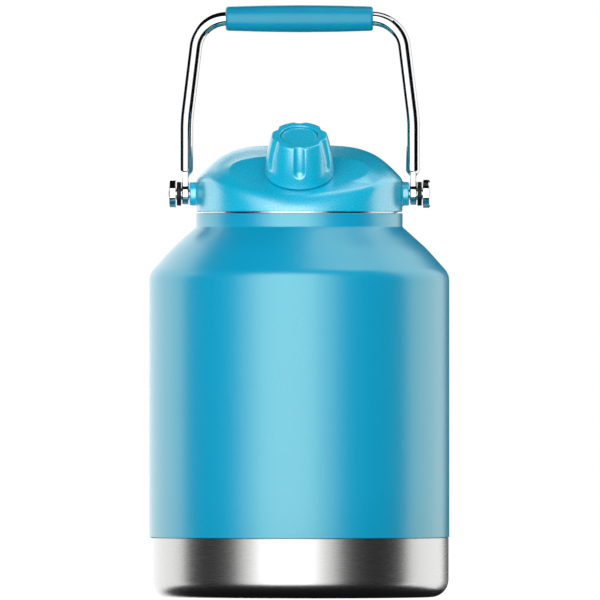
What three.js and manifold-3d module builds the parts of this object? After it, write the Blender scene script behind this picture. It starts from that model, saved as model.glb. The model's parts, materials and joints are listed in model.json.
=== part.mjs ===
// Vacuum-insulated one-gallon water jug: a double-walled steel body, a screw lid with a
// swinging bail handle, and a tilted drinking spout closed by a fluted screw cap.
// Millimetres, +Z up, origin at the centre of the base, the spout towards -Y.

import * as THREE from 'three';
import { mergeVertices } from 'three/addons/utils/BufferGeometryUtils.js';
import Module from 'manifold-3d';

const wasm = await Module();
wasm.setup();

// ---------- driving dimensions ----------

const GAP = 0.3; // working gap between neighbouring pieces
const SHEET = 0.8; // thickness of the steel sheet
const MARGIN = 1; // how far a cutting tool runs past what it cuts
const EMBED = 0.4; // how deep a thread ridge is rooted in its wall
const ARC_STEP = THREE.MathUtils.degToRad(30); // fillets are drawn in steps of about this
const JUG_SEGMENTS = 40; // facets round the body and lid
const CAP_SEGMENTS = 30; // facets round the cap
const TUBE_SEGMENTS = 20; // facets round the spout and the grip
const PIN_SEGMENTS = 12; // facets round small hardware
const THREAD_STEPS_PER_TURN = 30;
const THREAD_RUN_OUT = 0.12; // turns over which a ridge sinks into its wall at each end
const THREAD_SUNK = 0.1; // the part of its height left at the very end, inside the wall
const SCOOP_SEGMENTS = 5; // steps round each bend of the scoop
const ROD_SEGMENTS = 7; // steps round each half of the handle rod

// Body.
const BODY_RADIUS = 85;
const PAINT_BOTTOM_Z = 33.9; // the powder coat ends here and bare steel begins
const SHOULDER_Z = 183;
const SHOULDER_FILLET = 10;
const SHOULDER_BREAK = { radius: 72, z: 197.6, fillet: 60 }; // the shoulder steepens inwards from here
const NECK_RADIUS = 58.5;
const NECK_BOTTOM_Z = 209.7;
const NECK_TOP_Z = 217.3;
const NECK_FILLET = 1;

// Bare steel base.
const BASE_RADIUS = 84.6;
const BASE_CORNER = 10;
const LAP_RADIUS = 83.7; // the part of the base cup that is lapped inside the painted wall
const LAP_HEIGHT = 10;
const STANDING_RING_INNER = 68;
const BASE_RECESS = 3; // how far the middle of the base is raised off the table
const LEDGE_INNER = 50;
const LEDGE_OUTER = 64;
const BOTTOM_PLATE_RADIUS = 62;
const PLUG_HOLE_RADIUS = 4;
const GETTER = { radius: 9, thickness: 2, x: 24 };

// Inner vessel.
const LINER_RADIUS = 80;
const LINER_BOTTOM_Z = 8;
const LINER_CORNER = 12;
const LINER_SHOULDER_Z = 176.5;
const LINER_SHOULDER_FILLET = 8;
const LINER_NECK_RADIUS = 54.5;
const LINER_NECK_Z = 205.5;
const LINER_NECK_FILLET = 4;
const LIP_RADIUS = 58.2;
const LIP_Z = NECK_TOP_Z + GAP;

// Lid.
const LID_RADIUS = 58.4;
const LID_BOTTOM_Z = 218.7;
const LID_EDGE_Z = 236.4; // the side wall turns into the dome here
const LID_TOP_Z = 255.9;
const LID_FLAT_RADIUS = 26; // the level middle of the dome
const LID_WALL = 2.4;
const DOME = [[54.1, 241.4], [46.2, 248.2], [37.1, 253.3]]; // the dome between edge and level
const DOME_STEPS = 6;
const PLUG_RADIUS = 51.6;
const PLUG_BOTTOM_Z = 195;
const PLUG_WALL = 2.4;
const PLUG_FLOOR = 2;
const PLUG_CORNER = 3;
const FLANGE = { radius: 55.6, z: 220.8, thickness: 1.2 };
const LID_GASKET = { inner: 52.4, outer: 55.6, thickness: 1.8 };

// Screw thread between the lid plug and the neck.
const LID_THREAD = { lead: 8, turns: 1.5, root: 3.2, crest: 1.6 };
const LID_MALE = { crestRadius: 53.3, z: 201 };
const LID_FEMALE = { crestRadius: 52.2, z: LID_MALE.z + LID_THREAD.lead / 2 };

// Spout and its scooped seat in the dome.
const SPOUT = { y: -32.9, z: 239.7, tilt: THREE.MathUtils.degToRad(30) };
const SCOOP = { backWidth: 19.8, back: 19.5, sideWidth: 39.6, side: 3.5, bend: [36, 17.5] };
const SCOOP_MOUTH = { width: 43.6, front: -5.2 }; // where the scoop's wall has died away
const SCOOP_REACH = 64; // the scoop runs out past the lid
const SCOOP_HEIGHT = 20; // how high its wall is drawn
const SCOOP_FLARE = 2.5; // how far its wall leans back for each step up
const SPOUT_BORE = 9.8;
const SPOUT_RADIUS = 11.5;
const SPOUT_HEIGHT = 15.5;
const CAP_THREAD = { lead: 5, turns: 1.4, root: 2.2, crest: 1 };
const CAP_MALE = { crestRadius: 13, z: 4 };
const CAP_FEMALE = { crestRadius: 12, z: 1.5, startTurn: 0.2 };

// Cap, measured up the spout's axis from its seat.
const CAP = { bottom: 0.5, height: 25.1, baseRadius: 19.4, topRadius: 16 };
const CAP_WAIST = { radius: 18.6, z: 12, fillet: 40 };
const CAP_SHOULDER = { radius: 17.2, z: 21, fillet: 14 };
const CAP_EDGE = { base: 1, top: 1.5 };
const CAP_BORE = { radius: 14.9, top: 19.3 };
const CAP_HOLLOW = { radius: 12, top: 21.4 };
const CAP_DISC = { radius: 10.5, top: 24.8, thickness: 1.1 };
const FLUTES = 6;
const FLUTE = { radius: 4.4, depth: 1.67, bottom: 7.6, endSteps: 3, segments: 10 };
const INSERT = { radius: 14.6, bore: 13.4, bottom: 1, top: 19, roof: 1.4 };
const CAP_GASKET = { inner: 9.2, outer: 12.9, bottom: SPOUT_HEIGHT + GAP, thickness: 1.5 };

// Handle and its pivots.
const PIVOT_Z = 228.5;
const ROD_RADIUS = 4;
const LEG_X = 64.25;
const LEG_BOTTOM_Z = 238.5;
const KINK_Z = 270; // the legs lean inwards from here
const KINK_FILLET = 88;
const LEAN = THREE.MathUtils.degToRad(7);
const TOP_BAR_Z = 327.7;
const TOP_BEND = 18;
const GRIP = { length: 83.6, endRadius: 6.85, middleRadius: 7.9, edge: 1.6 };
const EYE = { radius: 6.2, inner: 62.8, outer: 66.3, bore: 3.9 };
const TANG = { thickness: 3.3, width: 8.6, top: 241 };
const BOSS = { radius: 6.7, end: 62.2, innerRadius: 6, innerEnd: 50.5, bore: 4.7, boreEnd: 51.3 };
const INSERT_NUT = { radius: 4.4, start: 51.6, end: 61.9 };
const BUSH = { radius: 3.6, start: 62.5, end: 69.7 };
const WASHER = { radius: 6.75, start: 66.9, end: 69.4 };
const BOLT = { shank: 2.5, start: 53, headStart: 70, headEnd: 74.1, headRadius: 7.9, chamfer: 1.2 };
const BOLT_HOLE = BOLT.shank + GAP;

// Colours.
const PAINT = 0x1aa3c8;
const STEEL = 0xc9cacb;
const CHROME = 0xe6e8ea;
const BLACK = 0x16181b;
const BRASS = 0xb58f4c;
const SILICONE = 0xd8dcdd;
const FOAM = 0xf0ede2;

// ---------- outlines ----------

// Corners [x, y, fillet] joined by straight lines, with each fillet drawn as an arc.
function outline(corners) {
  const points = [];
  corners.forEach(([x, y, fillet = 0], index) => {
    const corner = new THREE.Vector2(x, y);
    if (!fillet) {
      points.push(corner);
      return;
    }
    const [before, after] = [corners[index - 1], corners[index + 1]].map(
      ([px, py]) => new THREE.Vector2(px, py).sub(corner).normalize(),
    );
    const half = Math.acos(before.dot(after)) / 2;
    const centre = before.clone().add(after).setLength(fillet / Math.sin(half)).add(corner);
    const arm = before.clone().multiplyScalar(fillet / Math.tan(half)).add(corner).sub(centre);
    const turn = (Math.PI - 2 * half) * Math.sign(after.cross(before));
    const steps = Math.max(1, Math.round(Math.abs(turn) / ARC_STEP));
    for (let step = 0; step <= steps; step += 1) {
      points.push(arm.clone().rotateAround(new THREE.Vector2(), (turn * step) / steps).add(centre));
    }
  });
  return points;
}

// The line that runs beside an outline, on its left, at a fixed distance.
function beside(points, distance) {
  const leftOf = (from, to) => {
    const along = to.clone().sub(from).normalize();
    return new THREE.Vector2(-along.y, along.x);
  };
  return points.map((point, index) => {
    const previous = points[index - 1] ?? point;
    const next = points[index + 1] ?? point;
    const sides = [];
    if (previous !== point) sides.push(leftOf(previous, point));
    if (next !== point) sides.push(leftOf(point, next));
    const [first, second = first] = sides;
    const mitre = first.clone().add(second).divideScalar(1 + first.dot(second));
    return point.clone().addScaledVector(mitre, distance);
  });
}

// The section of a sheet whose outer face follows the given line.
function sheetSection(points, thickness) {
  return [...points, ...beside(points, thickness).reverse()];
}

// ---------- solids ----------

// A closed geometry: shared vertices merged, and collapsed triangles dropped.
function closed(geometry) {
  geometry.deleteAttribute('normal');
  geometry.deleteAttribute('uv');
  const merged = mergeVertices(geometry);
  const index = merged.index.array;
  const kept = [];
  for (let i = 0; i < index.length; i += 3) {
    const [a, b, c] = index.subarray(i, i + 3);
    if (a !== b && b !== c && c !== a) kept.push(a, b, c);
  }
  merged.setIndex(kept);
  return merged;
}

// A section [radius, z] turned about the Z axis. It runs anticlockwise, and closes on the axis
// or on itself.
function turned(points, segments) {
  const onAxis = points[0].x === 0;
  const section = onAxis ? points : [...points, points[0]];
  return closed(new THREE.LatheGeometry(section, segments).rotateX(Math.PI / 2));
}

function ring(inner, outer, bottom, top, segments) {
  return turned(outline([[inner, bottom], [outer, bottom], [outer, top], [inner, top]]), segments);
}

function disc(radius, bottom, top, segments) {
  return turned(outline([[0, bottom], [radius, bottom], [radius, top], [0, top]]), segments);
}

// Moves a piece modelled along +Z onto the +X axis of a pivot.
function alongX(geometry) {
  return geometry.rotateY(Math.PI / 2);
}

function toSolid(geometry) {
  const position = geometry.attributes.position.array;
  return new wasm.Manifold(new wasm.Mesh({
    numProp: 3,
    vertProperties: new Float32Array(position),
    triVerts: new Uint32Array(geometry.index.array),
  }));
}

function toGeometry(solid) {
  const { vertProperties, triVerts } = solid.getMesh();
  const geometry = new THREE.BufferGeometry();
  geometry.setAttribute('position', new THREE.BufferAttribute(vertProperties, 3));
  geometry.setIndex(new THREE.BufferAttribute(triVerts, 1));
  return geometry;
}

function join(...geometries) {
  return toGeometry(geometries.map(toSolid).reduce((all, next) => all.add(next)));
}

function cut(body, ...tools) {
  return toGeometry(tools.map(toSolid).reduce((left, tool) => left.subtract(tool), toSolid(body)));
}

// A right-hand thread ridge: a straight bar of trapezoid section, bent onto a helix about Z.
// It stands out of a wall when its crest lies outside the wall, and in when it lies inside.
function threadRidge(thread, { wallRadius, crestRadius, z, startTurn = 0 }) {
  const outward = Math.sign(crestRadius - wallRadius);
  const rootRadius = wallRadius - outward * EMBED;
  const section = new THREE.Shape([
    new THREE.Vector2(0, -thread.root / 2),
    new THREE.Vector2(1, -thread.crest / 2),
    new THREE.Vector2(1, thread.crest / 2),
    new THREE.Vector2(0, thread.root / 2),
  ]);
  const steps = Math.round(thread.turns * THREAD_STEPS_PER_TURN);
  const bar = new THREE.ExtrudeGeometry(section, { depth: 1, steps, bevelEnabled: false });
  const position = bar.attributes.position;
  for (let i = 0; i < position.count; i += 1) {
    const turns = position.getZ(i) * thread.turns;
    const fromEnd = Math.min(turns, thread.turns - turns);
    const sinking = THREAD_SUNK + (1 - THREAD_SUNK) * (fromEnd / THREAD_RUN_OUT);
    const rise = Math.min(1, sinking);
    const radius = rootRadius + (crestRadius - rootRadius) * position.getX(i) * rise;
    const angle = (startTurn + turns) * 2 * Math.PI;
    const height = z + (startTurn + turns) * thread.lead - outward * position.getY(i);
    position.setXYZ(i, radius * Math.cos(angle), radius * Math.sin(angle), height);
  }
  return closed(bar);
}

// ---------- body ----------

function outerShell() {
  const face = outline([
    [BODY_RADIUS, PAINT_BOTTOM_Z],
    [BODY_RADIUS, SHOULDER_Z, SHOULDER_FILLET],
    [SHOULDER_BREAK.radius, SHOULDER_BREAK.z, SHOULDER_BREAK.fillet],
    [NECK_RADIUS, NECK_BOTTOM_Z, NECK_FILLET],
    [NECK_RADIUS, NECK_TOP_Z],
  ]);
  return turned(sheetSection(face, SHEET), JUG_SEGMENTS);
}

function baseCup() {
  const face = outline([
    [LEDGE_INNER, BASE_RECESS],
    [LEDGE_OUTER, BASE_RECESS],
    [STANDING_RING_INNER, 0],
    [BASE_RADIUS, 0, BASE_CORNER],
    [BASE_RADIUS, PAINT_BOTTOM_Z - GAP - SHEET],
    [LAP_RADIUS, PAINT_BOTTOM_Z - GAP],
    [LAP_RADIUS, PAINT_BOTTOM_Z + LAP_HEIGHT],
  ]);
  return turned(sheetSection(face, SHEET), JUG_SEGMENTS);
}

const BOTTOM_PLATE_Z = BASE_RECESS + SHEET + GAP;

function bottomPlate() {
  const top = BOTTOM_PLATE_Z + SHEET;
  return ring(PLUG_HOLE_RADIUS, BOTTOM_PLATE_RADIUS, BOTTOM_PLATE_Z, top, JUG_SEGMENTS);
}

function vacuumPlug() {
  const bottom = BOTTOM_PLATE_Z - SHEET;
  return disc(PLUG_HOLE_RADIUS - GAP, bottom, bottom + 3 * SHEET, PIN_SEGMENTS);
}

function getterCapsule() {
  const bottom = BOTTOM_PLATE_Z + SHEET + GAP;
  const capsule = disc(GETTER.radius, bottom, bottom + GETTER.thickness, PIN_SEGMENTS);
  return capsule.translate(GETTER.x, 0, 0);
}

function innerLiner() {
  const face = outline([
    [0, LINER_BOTTOM_Z],
    [LINER_RADIUS, LINER_BOTTOM_Z, LINER_CORNER],
    [LINER_RADIUS, LINER_SHOULDER_Z, LINER_SHOULDER_FILLET],
    [LINER_NECK_RADIUS, LINER_NECK_Z, LINER_NECK_FILLET],
    [LINER_NECK_RADIUS, LIP_Z],
    [LIP_RADIUS, LIP_Z],
  ]);
  const vessel = turned(sheetSection(face, SHEET), JUG_SEGMENTS);
  const wallRadius = LINER_NECK_RADIUS - SHEET;
  return join(vessel, threadRidge(LID_THREAD, { wallRadius, ...LID_FEMALE }));
}

// ---------- spout ----------

// The spout, its thread and the cap are modelled upright and tilted together.
const spoutFrame = new THREE.Matrix4()
  .makeTranslation(0, SPOUT.y, SPOUT.z)
  .multiply(new THREE.Matrix4().makeRotationX(SPOUT.tilt));

// How far below the seat, along the tilted axis, the duct still passes the plug's floor.
const DUCT_DEPTH = (SPOUT.z - PLUG_BOTTOM_Z) / Math.cos(SPOUT.tilt) + SPOUT_RADIUS;

function ductHole() {
  return disc(SPOUT_RADIUS + GAP, -DUCT_DEPTH, SPOUT_HEIGHT, TUBE_SEGMENTS).applyMatrix4(spoutFrame);
}

function spout() {
  const tube = ring(SPOUT_BORE, SPOUT_RADIUS, -DUCT_DEPTH, SPOUT_HEIGHT, TUBE_SEGMENTS);
  const thread = threadRidge(CAP_THREAD, { wallRadius: SPOUT_RADIUS, ...CAP_MALE });
  const below = disc(BODY_RADIUS, 0, PLUG_BOTTOM_Z + GAP, PIN_SEGMENTS);
  return cut(join(tube, thread).applyMatrix4(spoutFrame), below);
}

// The scoop cut into the dome round the spout: a U of level floor, open at the front, whose
// wall leans back all round. grow makes it larger all round and deeper, for the wall that follows it
// inside the lid.
function scoop(grow) {
  const shape = new THREE.Shape();
  const floor = (x, y) => [x, y + (y > 0 ? grow : 0)];
  const sides = [1, -1];
  shape.moveTo(-SCOOP_REACH, -SCOOP_REACH);
  shape.lineTo(SCOOP_REACH, -SCOOP_REACH);
  shape.lineTo(SCOOP_REACH, SCOOP_MOUTH.front);
  sides.forEach((side) => {
    const mouth = [side * (SCOOP_MOUTH.width + grow), SCOOP_MOUTH.front];
    const flank = [side * (SCOOP.sideWidth + grow), SCOOP.side];
    const bend = floor(side * (SCOOP.bend[0] + grow), SCOOP.bend[1]);
    const back = floor(side * SCOOP.backWidth, SCOOP.back);
    if (side > 0) {
      shape.lineTo(...mouth);
      shape.lineTo(...flank);
      shape.quadraticCurveTo(...bend, ...back);
    } else {
      shape.lineTo(...back);
      shape.quadraticCurveTo(...bend, ...flank);
      shape.lineTo(...mouth);
    }
  });
  shape.lineTo(-SCOOP_REACH, SCOOP_MOUTH.front);
  const options = { depth: SCOOP_HEIGHT, curveSegments: SCOOP_SEGMENTS, bevelEnabled: false };
  const tool = new THREE.ExtrudeGeometry(shape, options);
  const position = tool.attributes.position;
  for (let i = 0; i < position.count; i += 1) {
    const [x, y, height] = [position.getX(i), position.getY(i), position.getZ(i)];
    const lean = SCOOP_FLARE * height;
    const back = y > SCOOP_MOUTH.front ? lean : 0;
    position.setXYZ(i, x + Math.sign(x) * lean, y + back, height - grow);
  }
  return closed(tool).applyMatrix4(spoutFrame);
}

// ---------- lid ----------

function lidFace() {
  const curve = new THREE.SplineCurve([
    new THREE.Vector2(LID_RADIUS, LID_EDGE_Z),
    ...DOME.map(([radius, z]) => new THREE.Vector2(radius, z)),
    new THREE.Vector2(LID_FLAT_RADIUS, LID_TOP_Z),
  ]);
  return [new THREE.Vector2(LID_RADIUS, LID_BOTTOM_Z), ...curve.getPoints(DOME_STEPS)];
}

// The face of the lid closed down to a level underside and across its top.
function domeSolid(face, bottom) {
  return turned([
    new THREE.Vector2(0, bottom),
    new THREE.Vector2(face[0].x, bottom),
    ...face,
    new THREE.Vector2(0, face.at(-1).y),
  ].filter((point, index, all) => index === 0 || !point.equals(all[index - 1])), JUG_SEGMENTS);
}

function bosses(radius, start, end) {
  return [1, -1].map((side) => (
    alongX(disc(radius, start, end, TUBE_SEGMENTS))
      .rotateZ(side > 0 ? 0 : Math.PI)
      .translate(0, 0, PIVOT_Z)
  ));
}

function lidShell() {
  const face = lidFace();
  const hollow = cut(
    domeSolid(beside(face, LID_WALL), LID_BOTTOM_Z - MARGIN),
    scoop(LID_WALL),
    ...bosses(BOSS.innerRadius, BOSS.innerEnd, LID_RADIUS),
  );
  const shell = cut(domeSolid(face, LID_BOTTOM_Z), scoop(0), hollow, ductHole());
  const middleOfWall = LID_RADIUS - LID_WALL / 2;
  return cut(
    join(shell, ...bosses(BOSS.radius, middleOfWall, BOSS.end)),
    ...bosses(BOSS.bore, BOSS.boreEnd, BOSS.end + MARGIN),
  );
}

function lidPlug() {
  const flangeTop = FLANGE.z + FLANGE.thickness;
  const inside = PLUG_RADIUS - PLUG_WALL;
  const cup = turned(outline([
    [0, PLUG_BOTTOM_Z],
    [PLUG_RADIUS, PLUG_BOTTOM_Z, PLUG_CORNER],
    [PLUG_RADIUS, FLANGE.z],
    [FLANGE.radius, FLANGE.z],
    [FLANGE.radius, flangeTop],
    [inside, flangeTop],
    [inside, PLUG_BOTTOM_Z + PLUG_FLOOR],
    [0, PLUG_BOTTOM_Z + PLUG_FLOOR],
  ]), JUG_SEGMENTS);
  const thread = threadRidge(LID_THREAD, { wallRadius: PLUG_RADIUS, ...LID_MALE });
  return cut(join(cup, thread), ductHole());
}

function lidInsulation() {
  const bottom = PLUG_BOTTOM_Z + PLUG_FLOOR + GAP;
  const radius = PLUG_RADIUS - PLUG_WALL - GAP;
  return cut(disc(radius, bottom, FLANGE.z, TUBE_SEGMENTS), ductHole());
}

function lidGasket() {
  const { inner, outer, thickness } = LID_GASKET;
  return ring(inner, outer, LID_BOTTOM_Z, LID_BOTTOM_Z + thickness, JUG_SEGMENTS);
}

// ---------- cap ----------

function flute(index) {
  const { radius, depth, bottom, endSteps, segments } = FLUTE;
  const middleRadius = (CAP.baseRadius + CAP.topRadius) / 2 - depth + radius;
  const middle = (bottom + CAP.height) / 2 + radius / 2;
  const slope = Math.atan((CAP.baseRadius - CAP.topRadius) / (CAP.height - CAP.bottom));
  const tool = new THREE.CapsuleGeometry(radius, CAP.height - bottom, endSteps, segments);
  return closed(tool)
    .rotateX(Math.PI / 2 - slope)
    .translate(0, -middleRadius, middle)
    .rotateZ((index * 2 * Math.PI) / FLUTES);
}

function capShell() {
  const recess = CAP_DISC.top - CAP_DISC.thickness - GAP;
  const bell = turned(outline([
    [CAP_BORE.radius, CAP.bottom],
    [CAP.baseRadius, CAP.bottom, CAP_EDGE.base],
    [CAP_WAIST.radius, CAP_WAIST.z, CAP_WAIST.fillet],
    [CAP_SHOULDER.radius, CAP_SHOULDER.z, CAP_SHOULDER.fillet],
    [CAP.topRadius, CAP.height, CAP_EDGE.top],
    [CAP_DISC.radius + GAP, CAP.height],
    [CAP_DISC.radius + GAP, recess],
    [0, recess],
    [0, CAP_HOLLOW.top],
    [CAP_HOLLOW.radius, CAP_HOLLOW.top],
    [CAP_HOLLOW.radius, CAP_BORE.top],
    [CAP_BORE.radius, CAP_BORE.top],
  ]), CAP_SEGMENTS);
  return cut(bell, ...Array.from({ length: FLUTES }, (_, index) => flute(index)));
}

function capDisc() {
  return disc(CAP_DISC.radius, CAP_DISC.top - CAP_DISC.thickness, CAP_DISC.top, CAP_SEGMENTS);
}

function capInsert() {
  const { radius, bore, bottom, top, roof } = INSERT;
  const cup = turned(outline([
    [bore, bottom],
    [radius, bottom],
    [radius, top],
    [0, top],
    [0, top - roof],
    [bore, top - roof],
  ]), CAP_SEGMENTS);
  return join(cup, threadRidge(CAP_THREAD, { wallRadius: bore, ...CAP_FEMALE }));
}

function capGasket() {
  const { inner, outer, bottom, thickness } = CAP_GASKET;
  return ring(inner, outer, bottom, bottom + thickness, TUBE_SEGMENTS);
}

// ---------- handle ----------

// A path in the XZ plane through fixed stations, swept station by station.
class RodPath extends THREE.Curve {
  constructor(points) {
    super();
    this.stations = points.map(({ x, y }) => new THREE.Vector3(x, 0, y));
  }

  getPoint(t, target = new THREE.Vector3()) {
    const place = t * (this.stations.length - 1);
    const index = Math.min(Math.floor(place), this.stations.length - 2);
    return target.lerpVectors(this.stations[index], this.stations[index + 1], place - index);
  }

  getUtoTmapping(u) {
    return u;
  }
}

function handleBail() {
  const cornerX = LEG_X - Math.tan(LEAN) * (TOP_BAR_Z - KINK_Z);
  const path = new RodPath(outline([
    [LEG_X, LEG_BOTTOM_Z],
    [LEG_X, KINK_Z, KINK_FILLET],
    [cornerX, TOP_BAR_Z, TOP_BEND],
    [-cornerX, TOP_BAR_Z, TOP_BEND],
    [-LEG_X, KINK_Z, KINK_FILLET],
    [-LEG_X, LEG_BOTTOM_Z],
  ]));
  const circle = new THREE.Shape().absarc(0, 0, ROD_RADIUS, 0, 2 * Math.PI);
  const options = { steps: path.stations.length - 1, curveSegments: ROD_SEGMENTS, extrudePath: path };
  const rod = closed(new THREE.ExtrudeGeometry(circle, options));
  const tangs = [1, -1].map((side) => {
    const box = new THREE.BoxGeometry(TANG.thickness, TANG.width, TANG.top - PIVOT_Z);
    return closed(box).translate(side * (EYE.inner + EYE.outer) / 2, 0, (TANG.top + PIVOT_Z) / 2);
  });
  return cut(
    join(rod, ...tangs, ...bosses(EYE.radius, EYE.inner, EYE.outer)),
    ...bosses(EYE.bore, EYE.inner - MARGIN, EYE.outer + MARGIN),
  );
}

function handleGrip() {
  const { length, endRadius, middleRadius, edge } = GRIP;
  const bore = ROD_RADIUS + GAP;
  const half = length / 2;
  const section = outline([
    [bore, -half],
    [endRadius, -half, edge],
    [middleRadius, 0, 4 * length],
    [endRadius, half, edge],
    [bore, half],
  ]);
  return alongX(turned(section, TUBE_SEGMENTS)).translate(0, 0, TOP_BAR_Z);
}

// ---------- handle pivot, modelled along +X ----------

function boltSection() {
  const { shank, start, headStart, headEnd, headRadius, chamfer } = BOLT;
  return outline([
    [0, start],
    [shank, start],
    [shank, headStart],
    [headRadius, headStart],
    [headRadius, headEnd - chamfer],
    [headRadius - chamfer, headEnd],
    [0, headEnd],
  ]);
}

function sleeve(bore, { radius, start, end }, segments) {
  return ring(bore, radius, start, end, segments);
}

const PIVOT_PIECES = {
  insert_nut: [BRASS, () => sleeve(BOLT_HOLE, INSERT_NUT, PIN_SEGMENTS)],
  pivot_bush: [STEEL, () => sleeve(BOLT_HOLE, BUSH, PIN_SEGMENTS)],
  pivot_washer: [BLACK, () => sleeve(EYE.bore, WASHER, TUBE_SEGMENTS)],
  pivot_bolt: [CHROME, () => turned(boltSection(), TUBE_SEGMENTS)],
};

// ---------- assembly ----------

function piece(name, geometry, color, roughness = 0.5, metalness = 0) {
  const material = new THREE.MeshStandardMaterial({ color, roughness, metalness });
  const mesh = new THREE.Mesh(geometry, material);
  mesh.name = name;
  return mesh;
}

const body = new THREE.Group();
body.add(
  piece('outer_shell', outerShell(), PAINT, 0.55, 0.2),
  piece('base_cup', baseCup(), STEEL, 0.35, 1),
  piece('bottom_plate', bottomPlate(), STEEL, 0.4, 1),
  piece('vacuum_plug', vacuumPlug(), STEEL, 0.6, 1),
  piece('getter_capsule', getterCapsule(), STEEL, 0.7, 1),
  piece('inner_liner', innerLiner(), STEEL, 0.3, 1),
);

const lid = new THREE.Group();
lid.add(
  piece('lid_shell', lidShell(), PAINT),
  piece('lid_plug', lidPlug(), PAINT),
  piece('lid_insulation', lidInsulation(), FOAM, 0.9),
  piece('lid_gasket', lidGasket(), SILICONE, 0.6),
  piece('spout', spout(), PAINT),
);

const cap = new THREE.Group();
cap.position.set(0, SPOUT.y, SPOUT.z);
cap.rotation.x = SPOUT.tilt;
cap.add(
  piece('cap_shell', capShell(), PAINT),
  piece('cap_disc', capDisc(), PAINT),
  piece('cap_insert', capInsert(), PAINT),
  piece('cap_gasket', capGasket(), SILICONE, 0.6),
);

const handle = new THREE.Group();
handle.add(
  piece('handle_bail', handleBail(), CHROME, 0.1, 1),
  piece('handle_grip', handleGrip(), PAINT),
);

const pivots = ['right', 'left'].map((side) => {
  const pivot = new THREE.Group();
  pivot.position.z = PIVOT_Z;
  pivot.rotation.z = side === 'right' ? 0 : Math.PI;
  Object.entries(PIVOT_PIECES).forEach(([name, [color, build]]) => {
    pivot.add(piece(`${name}_${side}`, alongX(build()), color, 0.3, 1));
  });
  return pivot;
});

const jug = new THREE.Group();
jug.add(body, lid, cap, handle, ...pivots);

export default jug;
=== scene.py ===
"""Looks of the one-gallon insulated water jug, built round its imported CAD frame."""
import json
import math

import bpy
import numpy as np
from mathutils import Matrix, Vector

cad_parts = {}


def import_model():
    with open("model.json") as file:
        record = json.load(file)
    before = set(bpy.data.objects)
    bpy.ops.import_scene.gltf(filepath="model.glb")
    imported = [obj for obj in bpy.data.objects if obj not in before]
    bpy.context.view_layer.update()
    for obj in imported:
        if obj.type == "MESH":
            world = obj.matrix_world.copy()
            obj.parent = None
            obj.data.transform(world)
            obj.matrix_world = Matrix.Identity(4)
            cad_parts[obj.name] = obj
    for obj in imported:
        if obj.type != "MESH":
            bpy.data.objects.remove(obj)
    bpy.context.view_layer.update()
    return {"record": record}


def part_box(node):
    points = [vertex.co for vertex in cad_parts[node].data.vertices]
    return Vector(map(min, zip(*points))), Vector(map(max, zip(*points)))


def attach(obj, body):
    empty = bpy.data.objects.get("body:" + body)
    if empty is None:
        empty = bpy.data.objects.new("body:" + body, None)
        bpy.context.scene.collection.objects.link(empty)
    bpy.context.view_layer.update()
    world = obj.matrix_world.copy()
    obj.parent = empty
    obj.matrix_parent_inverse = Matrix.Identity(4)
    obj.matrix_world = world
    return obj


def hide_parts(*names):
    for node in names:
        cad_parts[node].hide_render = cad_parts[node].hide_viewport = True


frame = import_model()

MM = 0.001


# ---------- sizes, in millimetres ----------

def top_of(node):
    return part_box(node)[1].z / MM


def bottom_of(node):
    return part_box(node)[0].z / MM


def reach_x(node):
    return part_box(node)[1].x / MM


SHEET = 0.8
GAP = 0.3

BODY_R = reach_x("outer_shell")
PAINT_BOTTOM = bottom_of("outer_shell")
NECK_TOP = top_of("outer_shell")
NECK_R = 58.5
NECK_BOTTOM = 209.7
SHOULDER_Z = 183
SHOULDER_BREAK = (72, 197.6)

BASE_R = reach_x("base_cup")
BASE_CORNER = 10
LAP_R = 83.7
STANDING_RING_INNER = 68
LEDGE_OUTER = 64
LEDGE_INNER = 50
BASE_RECESS = 3

LINER_R = reach_x("inner_liner")
LINER_BOTTOM = bottom_of("inner_liner")
LIP_Z = top_of("inner_liner") - SHEET
LIP_R = 55.7
LINER_NECK_R = 54.5
LINER_SHOULDER = (176.5, 205.5)

PLATE_HOLE_R = 4
PLATE_DIMPLE = (8, 9.5)
PLATE_RING = (30, 31.5)
PLATE_R = 62
PLATE_STEP = 0.35
PLUG_BEAD_R = 3.7
GETTER_R = 9

LID_R = 58.4
LID_BOTTOM = bottom_of("lid_shell")
LID_TOP = top_of("lid_shell")
LID_WALL = 2.4
SKIRT_DROP = 0.45  # the lid's outer edge hangs this far below its seat
SKIRT_TOP = 221  # the room for the neck and gasket stops at this height
PLUG_R = 51.6
PLUG_FLANGE = (220.8, 222)
PLUG_FLOOR = 2
GASKET_INNER = 52.4
GASKET_OUTER = 55.6
PLUG_BOTTOM = bottom_of("lid_plug")

SEAT = (0, -32.9, 239.7)
TILT = math.radians(30)
SPOUT_R = 11.5
SPOUT_BORE = 9.8
SPOUT_H = 15.5

PIVOT_Z = 228.5
ROD_R = 4
LEG_X = 64.25
LEG_BOTTOM = 238.5
KINK_Z = 270
KINK_R = 88
LEAN = math.radians(7)
BAR_Z = 327.7
BEND_R = 18

TANG_X = 64.55  # the middle of the flattened ends of the rod
TANG_Z = 234.5
TANG_HALF = (1.65, 4.5, 6.5)
EYE_R = 6.2
EYE_HALF = 1.75
EYE_HOLE_R = 3.9
FOOT_FLAT = 1.4  # radius of the end of the rod's taper

GRIP_HALF = 41.8
GRIP_END_R = 6.85
GRIP_QUARTER_R = 7.45
GRIP_MIDDLE_R = 7.7

BOSS_R = 6.7
BOSS_X = (57, 62.2)
BOSS_BORE_R = 4.7
BOSS_BORE_X = 51.3
INNER_BOSS_R = 6
INNER_BOSS_X = 50.5

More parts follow.
